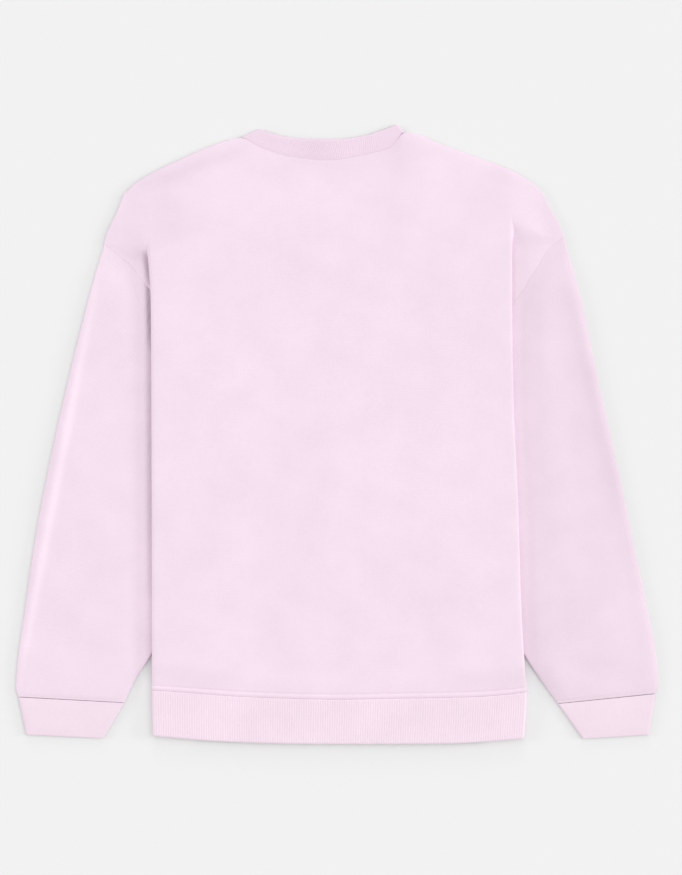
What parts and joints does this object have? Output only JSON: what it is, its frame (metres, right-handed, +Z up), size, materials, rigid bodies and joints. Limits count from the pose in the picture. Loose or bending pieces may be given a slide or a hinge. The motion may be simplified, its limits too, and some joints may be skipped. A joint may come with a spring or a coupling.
{
  "type": "crewneck sweatshirt",
  "caption": "Oversized drop-shoulder crewneck sweatshirt laid flat face down, sleeves beside the body, with ribbed collar, cuffs and hem band.",
  "frame": {"origin": "middle of the laid garment's outline, on the surface that it lies on", "axes": "+X to the right of someone who looks down at the garment's back, +Y to the neck, +Z up from the surface"},
  "size_m": [0.7296, 0.7038, 0.0119],
  "materials": {
    "jersey": "matt pale pink fleece-backed jersey with a soft nap",
    "ribbing": "matt pale pink knitted ribbing"
  },
  "bodies": {
    "root": {"back_panel": "jersey", "front_panel": "jersey", "sleeve_left": "jersey", "sleeve_right": "jersey", "cuff_left": "ribbing", "cuff_right": "ribbing", "collar": "ribbing", "hem_band": "ribbing"}
  },
  "joints": []
}
